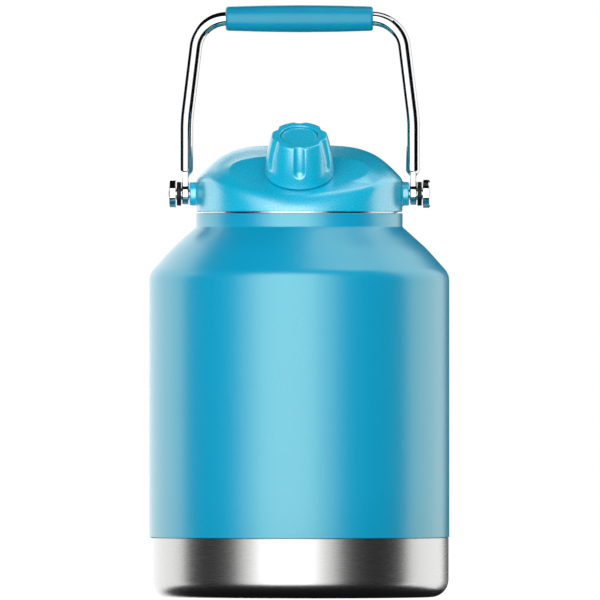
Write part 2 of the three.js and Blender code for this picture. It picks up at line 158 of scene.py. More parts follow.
# Pivot pieces, as (inner radius, outer radius, nearer end, farther end), and the bolt.
NUT = (2.8, 4.4, 51.6, 61.9)
BUSH = (2.8, 3.6, 62.5, 69.7)
WASHER = (3.9, 6.75, 66.9, 69.4)
SHANK_R = 2.5
SHANK_X = (53, 70)
HEAD_R = 7.9
HEAD_FACE_R = 7.2
HEAD_EDGE_X = 73.4
HEAD_FACE_X = 74.1

LID_THREAD = {"lead": 8, "turns": 1.5, "root": 3.2, "crest": 1.6}
LID_MALE_CREST, LID_MALE_Z = 53.3, 201
LID_FEMALE_CREST, LID_FEMALE_Z = 52.2, 205
CAP_THREAD = {"lead": 5, "turns": 1.4, "root": 2.2, "crest": 1.0}
CAP_MALE_CREST, CAP_MALE_Z = 13, 4
CAP_FEMALE_CREST, CAP_FEMALE_Z, CAP_FEMALE_START = 12, 1.5, 0.2

ROUND = 160  # facets round the body and lid
SMALL_ROUND = 72  # facets round small turned pieces
ARC_STEP = math.radians(9)

SPOUT_FRAME = Matrix.Translation(SEAT) @ Matrix.Rotation(TILT, 4, "X")


# ---------- outlines ----------

def outline(corners, support=0.35):
    """Corners (x, y, fillet) joined by lines, each fillet an arc with a short straight beside it."""
    points = []
    for i, (x, y, *rest) in enumerate(corners):
        corner = Vector((x, y))
        fillet = rest[0] if rest else 0
        if not fillet:
            points.append(corner)
            continue
        before = Vector(corners[i - 1][:2]) - corner
        after = Vector(corners[(i + 1) % len(corners)][:2]) - corner
        room_before, room_after = before.length, after.length
        before.normalize()
        after.normalize()
        half = before.angle(after) / 2
        reach = fillet / math.tan(half)
        centre = corner + (before + after).normalized() * (fillet / math.sin(half))
        arm = corner + before * reach - centre
        turn = math.copysign(math.pi - 2 * half, after.x * before.y - after.y * before.x)
        steps = max(2, round(abs(turn) / ARC_STEP))
        points.append(centre + arm + before * min(support, 0.3 * (room_before - reach)))
        for k in range(steps + 1):
            points.append(centre + Matrix.Rotation(turn * k / steps, 2) @ arm)
        points.append(points[-1] + after * min(support, 0.3 * (room_after - reach)))
    return points


def beside(points, distance):
    """The line beside another, on its left."""
    def left(a, b):
        along = (b - a).normalized()
        return Vector((-along.y, along.x))

    result = []
    for i, point in enumerate(points):
        sides = []
        if i > 0:
            sides.append(left(points[i - 1], point))
        if i + 1 < len(points):
            sides.append(left(point, points[i + 1]))
        first, last = sides[0], sides[-1]
        result.append(point + (first + last) * (distance / (1 + first.dot(last))))
    return result


def sheet_section(points, thickness=SHEET):
    return points + beside(points, thickness)[::-1]


# ---------- meshes: (vertices in mm, faces) ----------

def turned(section, segments=ROUND):
    """A section (r, z) turned about Z. It starts and ends on the axis, or closes on itself."""
    on_axis = section[0][0] == 0
    angles = [2 * math.pi * k / segments for k in range(segments)]
    vertices, faces, rows = [], [], []
    for r, z in section:
        if r == 0:
            rows.append([len(vertices)] * segments)
            vertices.append((0, 0, z))
        else:
            rows.append(list(range(len(vertices), len(vertices) + segments)))
            vertices += [(r * math.cos(a), r * math.sin(a), z) for a in angles]
    pairs = list(zip(rows, rows[1:])) + ([] if on_axis else [(rows[-1], rows[0])])
    for low, high in pairs:
        for k in range(segments):
            j = (k + 1) % segments
            corners = list(dict.fromkeys((low[k], low[j], high[j], high[k])))
            if len(corners) > 2:
                faces.append(corners)
    return vertices, faces


def thread_ridge(thread, wall, crest, z, start=0.0, embed=0.4, per_turn=72):
    """A right-hand ridge wound round Z, standing out of the wall or into the bore."""
    outward = math.copysign(1, crest - wall)
    root = wall - outward * embed
    steps = round(thread["turns"] * per_turn)
    vertices, faces = [], []
    for k in range(steps + 1):
        turns = thread["turns"] * k / steps
        rise = min(1.0, 0.1 + min(turns, thread["turns"] - turns) / 0.12)
        rise = rise * rise * (3 - 2 * rise)
        angle = 2 * math.pi * (start + turns)
        height = z + (start + turns) * thread["lead"]
        halves = thread["root"] / 2, thread["crest"] / 2
        section = [(0, -halves[0]), (0.85, -halves[1] - 0.15), (1, -halves[1] + 0.2),
                   (1, halves[1] - 0.2), (0.85, halves[1] + 0.15), (0, halves[0])]
        for radial, axial in section:
            r = root + (crest - root) * radial * max(rise, 0.05)
            vertices.append((r * math.cos(angle), r * math.sin(angle), height - outward * axial))
    count = 6
    for k in range(steps):
        for i in range(count):
            j = (i + 1) % count
            a, b = k * count, (k + 1) * count
            faces.append((a + i, b + i, b + j, a + j))
    faces.append(tuple(range(count)))
    faces.append(tuple(steps * count + i for i in reversed(range(count))))
    return vertices, faces


def combined(*meshes):
    vertices, faces = [], []
    for new_vertices, new_faces in meshes:
        base = len(vertices)
        vertices += list(new_vertices)
        faces += [tuple(base + i for i in face) for face in new_faces]
    return vertices, faces


def moved(mesh, matrix):
    vertices, faces = mesh
    return [tuple(matrix @ Vector(v)) for v in vertices], faces


ALONG_X = Matrix.Rotation(math.pi / 2, 4, "Y")


# ---------- smooth solids from distance functions ----------

def smooth_max(a, b, k):
    """The larger of two distances, with the edge between them rounded over about k."""
    h = np.maximum(k - np.abs(a - b), 0) / k
    return np.maximum(a, b) + h * h * k / 4


def smooth_min(a, b, k):
    return -smooth_max(-a, -b, k)


def surface(distance, low, high, cell, settle=4):
    """The zero surface of a distance function, as quads (surface nets), with its normals."""
    counts = [int(math.ceil((h - l) / cell)) + 1 for l, h in zip(low, high)]
    axes = [l + cell * np.arange(n) for l, n in zip(low, counts)]
    value = np.empty(counts)
    for i, x in enumerate(axes[0]):
        y, z = np.meshgrid(axes[1], axes[2], indexing="ij")
        value[i] = distance(np.full_like(y, x), y, z)
    inside = value < 0
    total = np.zeros([n - 1 for n in counts] + [3])
    crossings = np.zeros([n - 1 for n in counts])
    for axis in range(3):
        near = [slice(None)] * 3
        far = [slice(None)] * 3
        near[axis], far[axis] = slice(None, -1), slice(1, None)
        a, b = value[tuple(near)], value[tuple(far)]
        crosses = inside[tuple(near)] != inside[tuple(far)]
        share = np.where(crosses, a / np.where(crosses, a - b, 1), 0)
        others = [n for n in range(3) if n != axis]
        for u in (0, 1):
            for v in (0, 1):
                pick = [slice(None)] * 3
                pick[others[0]] = slice(u, counts[others[0]] - 1 + u)
                pick[others[1]] = slice(v, counts[others[1]] - 1 + v)
                hit = crosses[tuple(pick)]
                crossings += hit
                total[..., axis] += np.where(hit, share[tuple(pick)], 0)
                total[..., others[0]] += hit * u
                total[..., others[1]] += hit * v
    active = crossings > 0
    number = np.full(active.shape, -1)
    number[active] = np.arange(active.sum())
    cells = np.argwhere(active)
    points = np.array(low) + cell * (cells + total[active] / crossings[active][:, None])
    quads = []
    for axis in range(3):
        near = [slice(None)] * 3
        far = [slice(None)] * 3
        near[axis], far[axis] = slice(None, -1), slice(1, None)
        starts, ends = inside[tuple(near)], inside[tuple(far)]
        edge = np.argwhere(starts != ends)
        outward = starts[tuple(edge.T)]
        u, v = (axis + 1) % 3, (axis + 2) % 3
        keep = (edge[:, u] > 0) & (edge[:, v] > 0)
        keep &= (edge[:, u] < counts[u] - 1) & (edge[:, v] < counts[v] - 1)
        edge, outward = edge[keep], outward[keep]
        corners = []
        for du, dv in ((-1, -1), (0, -1), (0, 0), (-1, 0)):
            place = edge.copy()
            place[:, u] += du
            place[:, v] += dv
            corners.append(number[tuple(place.T)])
        quad = np.stack(corners, axis=1)
        quad[~outward] = quad[~outward][:, ::-1]
        quads.append(quad)
    quads = np.concatenate(quads)
    step = 0.02

    def slope(p):
        parts = []
        for axis in range(3):
            offset = np.zeros(3)
            offset[axis] = step
            parts.append((distance(*(p + offset).T) - distance(*(p - offset).T)) / (2 * step))
        return np.stack(parts, axis=1)

    start = points.copy()
    for _ in range(settle):
        gradient = slope(points)
        size = np.maximum((gradient ** 2).sum(axis=1), 0.05)
        points = points - gradient * (distance(*points.T) / size)[:, None]
        shift = np.clip(points - start, -0.9 * cell, 0.9 * cell)
        points = start + shift
    normals = slope(points)
    normals /= np.maximum(np.linalg.norm(normals, axis=1), 1e-9)[:, None]
    return points, quads, normals


# ---------- materials ----------

def material(name, base, roughness, metallic=0.0, **sockets):
    mat = bpy.data.materials.new(name)
    mat.use_nodes = True
    shader = mat.node_tree.nodes["Principled BSDF"]
    shader.inputs["Base Color"].default_value = (*base, 1)
    shader.inputs["Roughness"].default_value = roughness
    shader.inputs["Metallic"].default_value = metallic
    for socket, value in sockets.items():
        shader.inputs[socket.replace("_", " ")].default_value = value
    return mat, mat.node_tree, shader


def add(tree, kind, **settings):
    node = tree.nodes.new(kind)
    for key, value in settings.items():
        if hasattr(node, key):
            setattr(node, key, value)
        else:
            node.inputs[key.replace("_", " ")].default_value = value
    return node


def noise(tree, scale, detail=2.0, vector=None, roughness=0.5):
    node = add(tree, "ShaderNodeTexNoise", Scale=scale, Detail=detail, Roughness=roughness)
    if vector is None:
        vector = tree.nodes.get("Place")
        if vector is None:
            vector = add(tree, "ShaderNodeTexCoord")
            vector.name = "Place"
        vector = vector.outputs["Object"]
    tree.links.new(vector, node.inputs["Vector"])
    return node.outputs["Fac"]


def spread(tree, value, low, high, start=0.3, end=0.7):
    node = add(tree, "ShaderNodeMapRange")
    for socket, number in zip(("From Min", "From Max", "To Min", "To Max"), (start, end, low, high)):
        node.inputs[socket].default_value = number
    tree.links.new(value, node.inputs["Value"])
    return node.outputs["Result"]


def bump(tree, shader, height, distance, strength=1.0, below=None):
    node = add(tree, "ShaderNodeBump", Strength=strength, Distance=distance)
    tree.links.new(height, node.inputs["Height"])
    if below is not None:
        tree.links.new(below, node.inputs["Normal"])
    tree.links.new(node.outputs["Normal"], shader.inputs["Normal"])
    return node.outputs["Normal"]


def shade_between(tree, shader, value, dark, light):
    mix = add(tree, "ShaderNodeMix", data_type="RGBA")
    tree.links.new(value, mix.inputs["Factor"])
    mix.inputs["A"].default_value = (*dark, 1)
    mix.inputs["B"].default_value = (*light, 1)
    tree.links.new(mix.outputs["Result"], shader.inputs["Base Color"])


BLUE = (0.0, 0.325, 0.55)
PLASTIC_BLUE = (0.0, 0.46, 0.70)
CYAN_SHEEN = (0.8, 1.0, 0.6, 1)
PLASTIC_SHEEN = (0.95, 1.0, 0.85, 1)


def tinted(colour, factor):
    return tuple(min(1.0, c * factor) for c in colour)


def powder_coat():
    """Hard baked powder: a fine pebbled skin over a slow orange peel."""
    mat, tree, shader = material(
        "powder_coat", BLUE, 0.3, Specular_IOR_Level=1.0, IOR=1.55, Specular_Tint=CYAN_SHEEN)
    grain = noise(tree, 1500, 3)
    peel = noise(tree, 420, 1)
    shade_between(tree, shader, spread(tree, grain, 0, 1), tinted(BLUE, 0.93), tinted(BLUE, 1.05))
    tree.links.new(spread(tree, grain, 0.28, 0.33), shader.inputs["Roughness"])
    slow = bump(tree, shader, peel, 0.00006, 0.5)
    bump(tree, shader, grain, 0.00003, 0.6, below=slow)
    return mat


def moulded(name, colour, roughness, texture=2600, depth=0.000004, **sockets):
    """Injection-moulded plastic with a fine satin mould texture."""
    mat, tree, shader = material(name, colour, roughness, **sockets)
    grain = noise(tree, texture, 2)
    cloud = noise(tree, 60, 2)
    shade_between(tree, shader, spread(tree, cloud, 0, 1), tinted(colour, 0.96), tinted(colour, 1.03))
    tree.links.new(spread(tree, grain, roughness - 0.03, roughness + 0.04), shader.inputs["Roughness"])
    bump(tree, shader, grain, depth, 0.05)
    return mat


def around(tree):
    """Coordinates for marks left by turning or brushing round Z: they change fast up a wall and
    outward across a floor, and slowly round the axis."""
    place = add(tree, "ShaderNodeTexCoord")
    split = add(tree, "ShaderNodeSeparateXYZ")
    level = add(tree, "ShaderNodeCombineXYZ")
    radius = add(tree, "ShaderNodeVectorMath", operation="LENGTH")
    profile = add(tree, "ShaderNodeMath", operation="ADD")
    stretched = add(tree, "ShaderNodeMath", operation="MULTIPLY")
    joined = add(tree, "ShaderNodeCombineXYZ")
    tree.links.new(place.outputs["Object"], split.inputs[0])
    for axis in ("X", "Y"):
        tree.links.new(split.outputs[axis], level.inputs[axis])
        tree.links.new(split.outputs[axis], joined.inputs[axis])
    tree.links.new(level.outputs[0], radius.inputs[0])
    tree.links.new(radius.outputs["Value"], profile.inputs[0])
    tree.links.new(split.outputs["Z"], profile.inputs[1])
    tree.links.new(profile.outputs[0], stretched.inputs[0])
    stretched.inputs[1].default_value = 60
    tree.links.new(stretched.outputs[0], joined.inputs["Z"])
    return joined.outputs[0]


def brushed_steel(name, shade, roughness, anisotropy):
    """Stainless steel brushed round the jug: fine level scratches of many lengths."""
    mat, tree, shader = material(name, shade, roughness, 1.0, Anisotropic=anisotropy)
    wound = around(tree)
    fine = noise(tree, 130, 5, wound, 0.7)
    shade_between(tree, shader, spread(tree, fine, 0, 1), tinted(shade, 0.93), tinted(shade, 1.04))
    tree.links.new(spread(tree, fine, roughness - 0.02, roughness + 0.03), shader.inputs["Roughness"])
    bump(tree, shader, fine, 0.00001, 0.25)
    tangent = add(tree, "ShaderNodeTangent", direction_type="RADIAL", axis="Z")
    tree.links.new(tangent.outputs["Tangent"], shader.inputs["Tangent"])
    return mat


def polished(name, shade, roughness):
    """Polished plating with faint handling marks in its gloss."""
    mat, tree, shader = material(name, shade, roughness, 1.0)
    smear = noise(tree, 120, 3)
    tree.links.new(spread(tree, smear, roughness * 0.7, roughness * 1.6), shader.inputs["Roughness"])
    shade_between(tree, shader, spread(tree, smear, 0, 1), tinted(shade, 0.98), shade)
    return mat


MATERIALS = {
    "powder_coat": powder_coat(),
    "lid_plastic": moulded(
        "lid_plastic", PLASTIC_BLUE, 0.27, Specular_IOR_Level=1.0, IOR=1.75, Specular_Tint=PLASTIC_SHEEN),
    "grip_plastic": moulded(
        "grip_plastic", tinted(BLUE, 0.82), 0.36, Specular_IOR_Level=0.45, Specular_Tint=CYAN_SHEEN),
    "brushed_steel": brushed_steel("brushed_steel", (0.405, 0.405, 0.402), 0.27, 0.25),
    "plain_steel": brushed_steel("plain_steel", (0.74, 0.74, 0.74), 0.2, 0.3),
    "chrome": polished("chrome", (0.50, 0.505, 0.515), 0.05),
    "brass": polished("brass", (0.78, 0.56, 0.25), 0.2),
    "black_nylon": moulded("black_nylon", (0.003, 0.0035, 0.004), 0.45, Specular_IOR_Level=0.2),
    "silicone": moulded("silicone", (0.62, 0.65, 0.66), 0.5, 500),
    "foam": moulded("foam", (0.85, 0.83, 0.76), 0.9, 250, 0.0003),
}


# ---------- pieces ----------

SLOT_OF = {entry["node"]: entry["material_slot"] for entry in frame["record"]["subparts"]}
BODY_OF = {
    node: body
    for body, nodes in frame["record"]["behaviour"]["bodies"].items()
    for node in nodes
}


def piece(node, mesh, normals=None, sharp=math.radians(38)):
    """A finished mesh that stands for a CAD node, rides with its body and takes its material."""
    vertices, faces = mesh
    data = bpy.data.meshes.new(f"{node}_visual")
    data.from_pydata((np.asarray(vertices, dtype=float) * MM).tolist(), [], [tuple(f) for f in faces])
    data.validate()
    data.polygons.foreach_set("use_smooth", [True] * len(data.polygons))
    if normals is None:
        data.set_sharp_from_angle(angle=sharp)
    else:
        data.normals_split_custom_set_from_vertices(normals.tolist())
    obj = bpy.data.objects.new(f"{node}_visual", data)
    bpy.context.collection.objects.link(obj)
    data.materials.append(MATERIALS[SLOT_OF[node]])
    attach(obj, BODY_OF[node])
    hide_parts(node)
    return obj


def outer_shell():
    face = outline([
        (BODY_R, PAINT_BOTTOM),
        (BODY_R, 60),
        (BODY_R, 120),
        (BODY_R, SHOULDER_Z, 10),
        (*SHOULDER_BREAK, 60),
        (NECK_R, NECK_BOTTOM, 1.0),
        (NECK_R, NECK_TOP - 0.1),
        (NECK_R - 0.2, NECK_TOP + 0.1),
    ], support=0.6)
    face[0:1] = [Vector((BODY_R - 0.45, PAINT_BOTTOM)), Vector((BODY_R - 0.1, PAINT_BOTTOM + 0.12)),
                 Vector((BODY_R, PAINT_BOTTOM + 0.5))]
    piece("outer_shell", turned(sheet_section(face), 240))


def base_cup():
    face = outline([
        (LEDGE_INNER, BASE_RECESS),
        (LEDGE_OUTER, BASE_RECESS, 1.5),
        (STANDING_RING_INNER, 0, 1.5),
        (BASE_R, 0, BASE_CORNER),
        (BASE_R, PAINT_BOTTOM - 0.3, 0.1),
        (LAP_R, PAINT_BOTTOM - 0.15, 0.05),
        (LAP_R, PAINT_BOTTOM + 10),
    ], support=0.2)
    piece("base_cup", turned(sheet_section(face), 240))


def base_pieces():
    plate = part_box("bottom_plate")
    low, high = plate[0].z / MM, plate[1].z / MM
    face = outline([
        (PLATE_HOLE_R, low),
        (PLATE_DIMPLE[0], low),
        (PLATE_DIMPLE[1], low + PLATE_STEP),
        (PLATE_RING[0], low + PLATE_STEP),
        (PLATE_RING[1], low, 0.5),
        (PLATE_R, low),
    ])
    ridge = sheet_section(face, high - low)
    ridge = [Vector((r, min(z, high))) for r, z in ridge]
    piece("bottom_plate", turned(ridge))
    low, high = bottom_of("vacuum_plug"), top_of("vacuum_plug")
    bead = outline([(0, low), (PLUG_BEAD_R, low, 0.7), (PLUG_BEAD_R, high), (0, high)])
    piece("vacuum_plug", turned(bead, SMALL_ROUND))
    low, high = bottom_of("getter_capsule"), top_of("getter_capsule")
    lens = outline([(0, low), (GETTER_R, low), (GETTER_R, high, 0.6), (0, high)])
    centre = (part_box("getter_capsule")[0].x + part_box("getter_capsule")[1].x) / 2 / MM
    piece("getter_capsule", moved(turned(lens, SMALL_ROUND), Matrix.Translation((centre, 0, 0))))


def inner_liner():
    face = outline([
        (0, LINER_BOTTOM),
        (LINER_R, LINER_BOTTOM, 12),
        (LINER_R, LINER_SHOULDER[0], 8),
        (LINER_NECK_R, LINER_SHOULDER[1], 4),
        (LINER_NECK_R, LIP_Z, 0.5),
        (LIP_R, LIP_Z),
    ], support=0.1)
    weld = turned(ring_section(LINER_NECK_R, NECK_R - SHEET - 0.1, LIP_Z - 1.3, LIP_Z - 0.4, 0.2))
    vessel = combined(turned(sheet_section(face), 240), weld)
    thread = thread_ridge(LID_THREAD, LINER_NECK_R - SHEET, LID_FEMALE_CREST, LID_FEMALE_Z)
    piece("inner_liner", combined(vessel, thread))


def ring_section(inner, outer, low, high, fillet):
    return outline([
        (inner, (low + high) / 2),
        (inner, low, fillet),
        (outer, low, fillet),
        (outer, high, fillet),
        (inner, high, fillet),
    ], support=0.05)


def lid_inside():
    low, high = bottom_of("lid_gasket"), top_of("lid_gasket")
    piece("lid_gasket", turned(ring_section(GASKET_INNER, GASKET_OUTER, low, high, 0.5)))
    inside = PLUG_R - LID_WALL
    cup = turned(outline([
        (0, PLUG_BOTTOM),
        (PLUG_R, PLUG_BOTTOM, 3),
        (PLUG_R, PLUG_FLANGE[0], 0.3),
        (GASKET_OUTER, PLUG_FLANGE[0]),
        (GASKET_OUTER, PLUG_FLANGE[1]),
        (inside, PLUG_FLANGE[1]),
        (inside, PLUG_BOTTOM + PLUG_FLOOR),
        (0, PLUG_BOTTOM + PLUG_FLOOR),
    ]))
    thread = thread_ridge(LID_THREAD, PLUG_R, LID_MALE_CREST, LID_MALE_Z)
    piece("lid_plug", combined(cup, thread))
    radius = inside - GAP
    low, high = bottom_of("lid_insulation"), top_of("lid_insulation")
    foam = outline([(0, low), (radius, low, 1), (radius, high, 1), (0, high)])
    piece("lid_insulation", turned(foam))


def spout():
    depth = (SEAT[2] - PLUG_BOTTOM) / math.cos(TILT) - SPOUT_R * math.tan(TILT)
    tube = turned(outline([
        (SPOUT_BORE, 0),
        (SPOUT_BORE, -depth),
        (SPOUT_R, -depth),
        (SPOUT_R, SPOUT_H, 0.6),
        (SPOUT_BORE, SPOUT_H, 0.6),
    ], support=0.1), SMALL_ROUND)
    thread = thread_ridge(CAP_THREAD, SPOUT_R, CAP_MALE_CREST, CAP_MALE_Z)
    piece("spout", moved(combined(tube, thread), SPOUT_FRAME))


# The crown of the lid as an even polynomial of the radius, fitted through points of its section
# (radius, height).
DOME = np.array([(0, 256.1), (14, 256.05), (26, 255.6), (32, 254.8), (37.1, 253.3), (43.9, 249.9),
                 (48.5, 246.5), (54.1, 241.4), (58.4, 236.6)])
DOME_FIT = np.polyfit((DOME[:, 0] / LID_R) ** 2, DOME[:, 1], 5)


def dome_height(r):
    x = np.minimum(r / LID_R, 1.02) ** 2
    return np.polyval(DOME_FIT, x)


def seat_coordinates(x, y, z):
    """(across, up the slope, above the seat) of points in the tilted frame of the spout."""
    c, s = math.cos(TILT), math.sin(TILT)
    dy, dz = y - SEAT[1], z - SEAT[2]
    return x, dy * c + dz * s, dz * c - dy * s


# The flat pad round the spout, in the tilted frame: its half width, its middle, how far it runs
# up and down the slope from there, and how squarely its outline bends.
PAD_HALF_WIDTH = 39.2
PAD_MIDDLE = 3.5
PAD_UP, PAD_UP_BEND = 17.2, 2.7
PAD_DOWN, PAD_DOWN_BEND = 30, 1.8
PAD_SIDE_FALL = 0.42
PAD_BACK_FALL = 0.27


def slope_distance(x, y, z):
    """Distance above the lid's front slope: a flat pad, with the ground falling away round it."""
    across, up, above = seat_coordinates(x, y, z)
    v = up - PAD_MIDDLE
    bend = np.where(v > 0, PAD_UP_BEND, PAD_DOWN_BEND)
    length = np.where(v > 0, PAD_UP, PAD_DOWN)
    a, b = np.abs(across) / PAD_HALF_WIDTH, np.abs(v) / length
    total = a ** bend + b ** bend + 1e-9
    ring = total ** (1 / bend)
    steep = np.hypot(a ** (bend - 1) / PAD_HALF_WIDTH, b ** (bend - 1) / length)
    away = (ring - 1) / np.maximum(steep * ring ** (1 - bend), 0.01)
    share = a ** bend / total
    fall = PAD_BACK_FALL + (PAD_SIDE_FALL - PAD_BACK_FALL) * share
    crease = 0.12 + 2.6 * np.clip(-v / 12, 0, 1) ** 2
    return smooth_max(above, above + fall * np.clip(away, -8, 22), crease), up


def lid_distance(x, y, z):
    r = np.hypot(x, y)
    crown = (z - dome_height(r)) * 0.75
    outside = smooth_max(r - LID_R, crown, 0.9)
    slope, up = slope_distance(x, y, z)
    front = np.clip((-up - 9) / 20, 0, 1)
    roll = 2.4 + 6.8 * front ** 2 * (3 - 2 * front)
    face = smooth_max(outside, slope, roll)
    outside = smooth_max(face, LID_BOTTOM - SKIRT_DROP - z, 0.4)
    hollow = np.maximum(np.maximum(r - LID_R, crown) + LID_WALL, LID_WALL + slope)
    hollow = np.maximum(hollow, outside + LID_WALL - 0.2)
    from_pivot = np.hypot(y, z - PIVOT_Z)
    inner_boss = np.maximum(from_pivot - INNER_BOSS_R, INNER_BOSS_X - np.abs(x))
    hollow = np.maximum(hollow, -inner_boss)
    skirt = np.maximum(np.maximum(r - LID_R, face) + LID_WALL, z - SKIRT_TOP)
    shell = np.maximum(outside, -np.minimum(hollow, skirt))
    boss = smooth_max(from_pivot - BOSS_R, np.abs(x) - BOSS_X[1], 0.8)
    boss = np.maximum(boss, BOSS_X[0] - np.abs(x))
    shell = smooth_min(shell, boss, 1.0)
    bore = np.maximum(from_pivot - BOSS_BORE_R, BOSS_BORE_X - np.abs(x))
    across, up, above = seat_coordinates(x, y, z)
    duct = np.maximum(np.hypot(across, up) - SPOUT_R - GAP, above - SPOUT_H)
    return np.maximum(shell, -np.minimum(bore, duct))


def lid_shell():
    points, quads, normals = surface(
        lid_distance, (-63.2, -59.4, LID_BOTTOM - 1), (63.2, 59.4, LID_TOP + 1.2), 0.8)
    piece("lid_shell", (points, quads), normals)


# Cap, in the spout's upright frame.
CAP_H = 25.1
CAP_BASE_R = 19.4
CAP_TAPER = 0.0059
FLUTES = 6
FLUTE_R = 4.4
FLUTE_OFFSET = 2.73
FLUTE_FOOT = 11
RECESS_R = 10.8
RECESS_FLOOR = 22.9
CAP_BORE = (14.9, 19.3)  # radius and top of the room for the insert
CAP_POCKET = (12, 21.4)  # and of the narrower pocket above it
DISC_R = 10.5
DISC_EDGE = (9.2, 9.0)
DISC_BACK, DISC_RIM, DISC_FACE = 23.2, 24.3, 24.1
INSERT_BORE = 13.4
INSERT_R = 14.6
INSERT_FOOT, INSERT_CEILING, INSERT_TOP = 1, 17.6, 19
CAP_GASKET = (9.2, 12.9, 1.5)  # inner radius, outer radius, thickness


def cap_distance(x, y, z):
    r = np.hypot(x, y)
    side = CAP_BASE_R - CAP_TAPER * np.maximum(z, 0) ** 2
    bell = smooth_max(r - side, z - CAP_H, 1.3)
    bell = smooth_max(bell, 0.5 - z, 0.8)
    sector = 2 * math.pi / FLUTES
    angle = np.arctan2(x, -y)
    angle = angle - sector * np.round(angle / sector)
    tangential, radial = r * np.sin(angle), r * np.cos(angle)
    below = np.minimum(z - FLUTE_FOOT, 0)
    flute = np.sqrt(tangential ** 2 + (radial - side - FLUTE_OFFSET) ** 2 + below ** 2) - FLUTE_R
    bell = smooth_max(bell, -flute, 0.7)
    recess = np.maximum(r - RECESS_R, RECESS_FLOOR - z)
    bell = smooth_max(bell, -recess, 0.5)
    room, pocket = (np.maximum(r - radius, z - top) for radius, top in (CAP_BORE, CAP_POCKET))
    bore = np.minimum(room, pocket)
    return np.maximum(bell, -bore)


def cap_pieces():
    points, quads, normals = surface(cap_distance, (-20.2, -20.2, -0.3), (20.2, 20.2, 25.4), 0.36)
    turn = np.array(SPOUT_FRAME.to_3x3())
    placed = points @ turn.T + np.array(SEAT)
    piece("cap_shell", (placed, quads), normals @ turn.T)
    disc = outline([
        (0, DISC_BACK),
        (DISC_R, DISC_BACK),
        (DISC_R, DISC_RIM, 0.45),
        (DISC_EDGE[0], DISC_RIM, 0.2),
        (DISC_EDGE[1], DISC_FACE, 0.15),
        (0, DISC_FACE),
    ], support=0.05)
    piece("cap_disc", moved(turned(disc, 96), SPOUT_FRAME))
    insert = turned(outline([
        (0, INSERT_CEILING),
        (INSERT_BORE, INSERT_CEILING),
        (INSERT_BORE, INSERT_FOOT),
        (INSERT_R, INSERT_FOOT),
        (INSERT_R, INSERT_TOP),
        (0, INSERT_TOP),
    ]), SMALL_ROUND)
    thread = thread_ridge(
        CAP_THREAD, INSERT_BORE, CAP_FEMALE_CREST, CAP_FEMALE_Z, start=CAP_FEMALE_START)
    piece("cap_insert", moved(combined(insert, thread), SPOUT_FRAME))
    inner, outer, thickness = CAP_GASKET
    low = SPOUT_H + GAP
    gasket = turned(ring_section(inner, outer, low, low + thickness, 0.4), SMALL_ROUND)
    piece("cap_gasket", moved(gasket, SPOUT_FRAME))


# Handle: the rod's centre line is one leg, a lean, a bend and half the top bar, mirrored in X.
CORNER_X = LEG_X - math.tan(LEAN) * (BAR_Z - KINK_Z)


def rod_line(x, z):
    """Distance in the handle's plane from the rod's centre line, for x of zero or more."""
    kink_reach = KINK_R * math.tan(LEAN / 2)
    bend_turn = math.pi / 2 - LEAN
    bend_reach = BEND_R * math.tan(bend_turn / 2)
    lean_x, lean_z = -math.sin(LEAN), math.cos(LEAN)

    def line(ax, az, bx, bz):
        ux, uz = bx - ax, bz - az
        t = np.clip(((x - ax) * ux + (z - az) * uz) / (ux * ux + uz * uz), 0, 1)
        return np.hypot(x - ax - t * ux, z - az - t * uz)

    def arc(cx, cz, radius, start, end):
        angle = np.arctan2(z - cz, x - cx)
        within = (angle >= start) & (angle <= end)
        return np.where(within, np.abs(np.hypot(x - cx, z - cz) - radius), 1e3)

    kink_top = (LEG_X + lean_x * kink_reach, KINK_Z + lean_z * kink_reach)
    bend_low = (CORNER_X - lean_x * bend_reach, BAR_Z - lean_z * bend_reach)
    bend_x = CORNER_X - bend_reach
    parts = [
        line(LEG_X, LEG_BOTTOM, LEG_X, KINK_Z - kink_reach),
        arc(LEG_X - KINK_R, KINK_Z - kink_reach, KINK_R, 0, LEAN),
        line(*kink_top, *bend_low),
        arc(bend_x, BAR_Z - BEND_R, BEND_R, LEAN, math.pi / 2),
        line(bend_x, BAR_Z, -5, BAR_Z),
    ]
    return np.minimum.reduce(parts)


def rounded_box(x, y, z, half, fillet):
    q = [np.abs(v) - h + fillet for v, h in zip((x, y, z), half)]
    outside = np.sqrt(sum(np.maximum(v, 0) ** 2 for v in q))
    return outside + np.minimum(np.maximum.reduce(q), 0) - fillet


def bail_distance(x, y, z):
    side = np.abs(x)
    rod = np.hypot(rod_line(side, z), y) - ROD_R
    taper = (np.hypot(side - LEG_X, y) - FOOT_FLAT - (z - LEG_BOTTOM)) * 0.7
    rod = smooth_max(rod, taper, 1.0)
    tang = rounded_box(side - TANG_X, y, z - TANG_Z, TANG_HALF, 0.5)
    from_pivot = np.hypot(y, z - PIVOT_Z)
    eye = smooth_max(from_pivot - EYE_R, np.abs(side - TANG_X) - EYE_HALF, 0.5)
    end = smooth_min(tang, eye, 1.2)
    whole = smooth_min(rod, end, 1.0)
    return np.maximum(whole, EYE_HOLE_R - from_pivot)


def handle_pieces():
    points, quads, normals = surface(
        bail_distance, (-69.4, -7.4, 221.5), (69.4, 7.4, BAR_Z + 5), 0.5)
    piece("handle_bail", (points, quads), normals)
    face = outline([
        (ROD_R + GAP, -GRIP_HALF),
        (GRIP_END_R, -GRIP_HALF, 1.6),
        (GRIP_QUARTER_R, -GRIP_HALF / 2, 300),
        (GRIP_MIDDLE_R, 0, 500),
        (GRIP_QUARTER_R, GRIP_HALF / 2, 300),
        (GRIP_END_R, GRIP_HALF, 1.6),
        (ROD_R + GAP, GRIP_HALF),
    ], support=0.1)
    grip = moved(turned(face, 96), Matrix.Translation((0, 0, BAR_Z)) @ ALONG_X)
    piece("handle_grip", grip)


